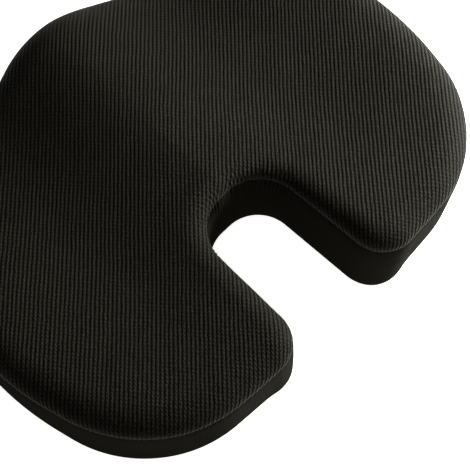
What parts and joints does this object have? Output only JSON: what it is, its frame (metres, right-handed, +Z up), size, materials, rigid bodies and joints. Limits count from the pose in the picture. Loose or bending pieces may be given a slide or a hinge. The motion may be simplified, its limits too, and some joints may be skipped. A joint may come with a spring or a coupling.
{
  "type": "seat cushion",
  "caption": "U-shaped seat cushion with a tailbone notch, contoured foam core and a zipped mesh cover.",
  "frame": {"origin": "middle of the footprint, on the surface that the cushion lies on", "axes": "+Z up; +Y towards the rear, where the notch opens; -Y towards the front; +X to the left of someone who sits on it facing the front"},
  "size_m": [0.45, 0.355, 0.0796],
  "materials": {
    "foam": "open-cell memory foam, cream, matte",
    "liner": "thin pale grey jersey knit, matte",
    "mesh_cloth": "black ribbed air mesh with rows of small holes, matte with a faint sheen",
    "band_cloth": "black fine knit, matte",
    "base_cloth": "black plain weave with printed grip dots, matte",
    "thread": "black polyester sewing thread",
    "zip_tape": "black twill zip tape",
    "zip_coil": "black nylon coil",
    "zip_metal": "black enamelled zinc, satin"
  },
  "bodies": {
    "cushion": {"foam_core": "foam", "inner_liner_upper": "liner", "inner_liner_base": "liner", "top_panel": "mesh_cloth", "side_band": "band_cloth", "bottom_panel_rear": "base_cloth", "bottom_panel_front": "base_cloth", "top_seam_thread": "thread", "bottom_seam_thread": "thread", "zipper_tape_rear": "zip_tape", "zipper_tape_front": "zip_tape", "zipper_coil_rear": "zip_coil", "zipper_coil_front": "zip_coil", "zipper_top_stop_rear": "zip_metal", "zipper_top_stop_front": "zip_metal", "zipper_bottom_stop": "zip_metal"},
    "slider": {"zipper_slider": "zip_metal"},
    "pull": {"zipper_pull_tab": "zip_metal"}
  },
  "joints": [
    {"name": "zip_slide", "type": "slide", "parent": "cushion", "child": "slider", "axis": [1, 0, 0], "range_m": [0, 0.26]},
    {"name": "pull_swing", "type": "hinge", "parent": "slider", "child": "pull", "pos_m": [-0.13, -0.1075, 0.003], "axis": [0, 1, 0], "range_deg": [0, 180]}
  ]
}
